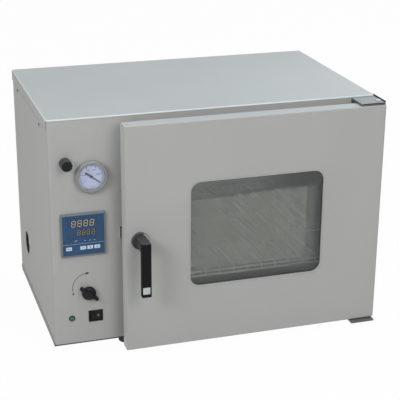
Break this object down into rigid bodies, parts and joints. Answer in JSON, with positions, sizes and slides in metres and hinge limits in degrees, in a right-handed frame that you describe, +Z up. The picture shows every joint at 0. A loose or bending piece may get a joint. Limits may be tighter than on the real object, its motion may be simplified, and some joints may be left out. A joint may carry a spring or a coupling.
{
  "type": "vacuum drying oven",
  "caption": "Bench-top vacuum drying oven: painted cabinet, heated chamber behind a glazed hinged door, gauge, controller, valves and sliding wire shelves.",
  "frame": {"origin": "on the surface that the feet stand on, under the middle of the whole oven's width and depth", "axes": "+X to the right seen from the front, +Y to the back, +Z up"},
  "size_m": [0.7311, 0.553, 0.5302],
  "materials": {
    "cabinet_paint": "fine satin powder coat",
    "tray_paint": "fine satin powder coat",
    "door_paint": "fine satin powder coat",
    "liner_paint": "fine satin powder coat",
    "galvanised": "plain zinc-coated sheet",
    "foot_rubber": "matte moulded rubber",
    "screw_steel": "zinc-plated",
    "stainless": "brushed stainless steel",
    "shelf_wire": "polished wire",
    "silicone": "satin silicone",
    "mineral_wool": "loose fibre felt",
    "heater_mat": "moulded silicone mat",
    "probe_steel": "turned steel",
    "clear_glass": "clear polished glass",
    "dark_rubber": "satin rubber",
    "spacer_plastic": "matte moulded plastic",
    "hinge_steel": "satin paint with darker edges",
    "pin_steel": "turned steel",
    "bush_brass": "turned brass",
    "rose_paint": "dark satin paint",
    "grip_plastic": "moulded satin plastic",
    "inlay_film": "plain pale film",
    "latch_steel": "zinc-plated",
    "gauge_ring": "semi-gloss enamel",
    "gauge_tin": "black enamel",
    "dial_card": "matte printed dial",
    "needle_paint": "black enamel",
    "bezel_plastic": "moulded grey plastic",
    "case_plastic": "black moulded plastic",
    "face_film": "satin printed film",
    "display_plastic": "smoked gloss plastic",
    "key_plastic": "satin film keys",
    "rocker_plastic": "black semi-gloss plastic",
    "lens_green": "dark translucent plastic",
    "knob_plastic": "black semi-gloss phenolic",
    "pipe_metal": "drawn tube",
    "cup_paint": "satin paint",
    "gland_nylon": "black nylon"
  },
  "bodies": {
    "cabinet": {"top_cover": "cabinet_paint", "front_fascia": "cabinet_paint", "left_side_panel": "cabinet_paint", "right_side_panel": "cabinet_paint", "back_panel": "cabinet_paint", "base_tray": "tray_paint", "partition_panel": "galvanised", "feet": "foot_rubber", "cover_screws": "screw_steel", "latch_keeper": "screw_steel", "heating_chamber": "stainless", "chamber_flange": "stainless", "shelf_runners": "stainless", "door_seal": "silicone", "chamber_insulation": "mineral_wool", "heater_pads": "heater_mat", "temperature_probe": "probe_steel", "gauge_glass": "clear_glass", "hinge_bracket_upper": "hinge_steel", "hinge_bracket_lower": "hinge_steel", "hinge_pins": "pin_steel", "vacuum_valve_body": "bush_brass", "vent_valve_body": "bush_brass", "gauge_bezel": "gauge_ring", "gauge_case": "gauge_tin", "gauge_dial": "dial_card", "controller_bezel": "bezel_plastic", "controller_case": "case_plastic", "switch_housing": "case_plastic", "lamp_holder": "case_plastic", "controller_face": "face_film", "display_window": "display_plastic", "lamp_lens": "lens_green", "pipework": "pipe_metal", "pump_nozzle": "pipe_metal", "pump_port_cup": "cup_paint", "cord_gland": "gland_nylon"},
    "door": {"door_skin": "door_paint", "door_liner": "liner_paint", "outer_pane": "clear_glass", "inner_glass": "clear_glass", "pane_spacer": "spacer_plastic", "window_gasket": "dark_rubber", "glass_clips": "screw_steel", "hinge_bushes": "bush_brass", "handle_rose": "rose_paint"},
    "handle": {"handle_lever": "grip_plastic", "grip_inlay": "inlay_film", "handle_spindle": "pin_steel", "latch_tongue": "latch_steel"},
    "lower_shelf": {"shelf_lower": "shelf_wire"},
    "upper_shelf": {"shelf_upper": "shelf_wire"},
    "vacuum_knob": {"vacuum_valve_knob": "knob_plastic"},
    "vent_knob": {"vent_valve_knob": "knob_plastic"},
    "needle": {"gauge_needle": "needle_paint"},
    "rocker": {"switch_rocker": "rocker_plastic"},
    "key_1": {"controller_key_1": "key_plastic"},
    "key_2": {"controller_key_2": "key_plastic"},
    "key_3": {"controller_key_3": "key_plastic"},
    "key_4": {"controller_key_4": "key_plastic"}
  },
  "joints": [
    {"name": "door_swing", "type": "hinge", "parent": "cabinet", "child": "door", "pos_m": [0.351, -0.2055, 0.269], "axis": [0, 0, 1], "range_deg": [0, 110]},
    {"name": "handle_turn", "type": "hinge", "parent": "door", "child": "handle", "pos_m": [-0.1861, -0.2275, 0.27], "axis": [0, -1, 0], "range_deg": [0, 90]},
    {"name": "lower_shelf_slide", "type": "slide", "parent": "cabinet", "child": "lower_shelf", "axis": [0, -1, 0], "range_m": [0, 0.28]},
    {"name": "upper_shelf_slide", "type": "slide", "parent": "cabinet", "child": "upper_shelf", "axis": [0, -1, 0], "range_m": [0, 0.28]},
    {"name": "vacuum_knob_turn", "type": "hinge", "parent": "cabinet", "child": "vacuum_knob", "pos_m": [-0.2868, -0.1675, 0.1392], "axis": [0, -1, 0], "range_deg": [0, 90]},
    {"name": "vent_knob_turn", "type": "hinge", "parent": "cabinet", "child": "vent_knob", "pos_m": [-0.329, -0.1675, 0.4362], "axis": [0, -1, 0], "continuous": true},
    {"name": "needle_sweep", "type": "hinge", "parent": "cabinet", "child": "needle", "pos_m": [-0.275, -0.1675, 0.4028], "axis": [0, -1, 0], "range_deg": [0, 256]},
    {"name": "rocker_tilt", "type": "hinge", "parent": "cabinet", "child": "rocker", "pos_m": [-0.2727, -0.1675, 0.083], "axis": [0, 0, -1], "range_deg": [0, 16]},
    {"name": "key_1_press", "type": "slide", "parent": "cabinet", "child": "key_1", "axis": [0, 1, 0], "range_m": [0, 0.001], "stiffness_N_per_m": 600},
    {"name": "key_2_press", "type": "slide", "parent": "cabinet", "child": "key_2", "axis": [0, 1, 0], "range_m": [0, 0.001], "stiffness_N_per_m": 600},
    {"name": "key_3_press", "type": "slide", "parent": "cabinet", "child": "key_3", "axis": [0, 1, 0], "range_m": [0, 0.001], "stiffness_N_per_m": 600},
    {"name": "key_4_press", "type": "slide", "parent": "cabinet", "child": "key_4", "axis": [0, 1, 0], "range_m": [0, 0.001], "stiffness_N_per_m": 600}
  ],
  "couplings": [
    {"joint": "lower_shelf_slide", "follows": "door_swing", "m_per_rad": 0.14},
    {"joint": "upper_shelf_slide", "follows": "door_swing", "m_per_rad": 0.14}
  ]
}
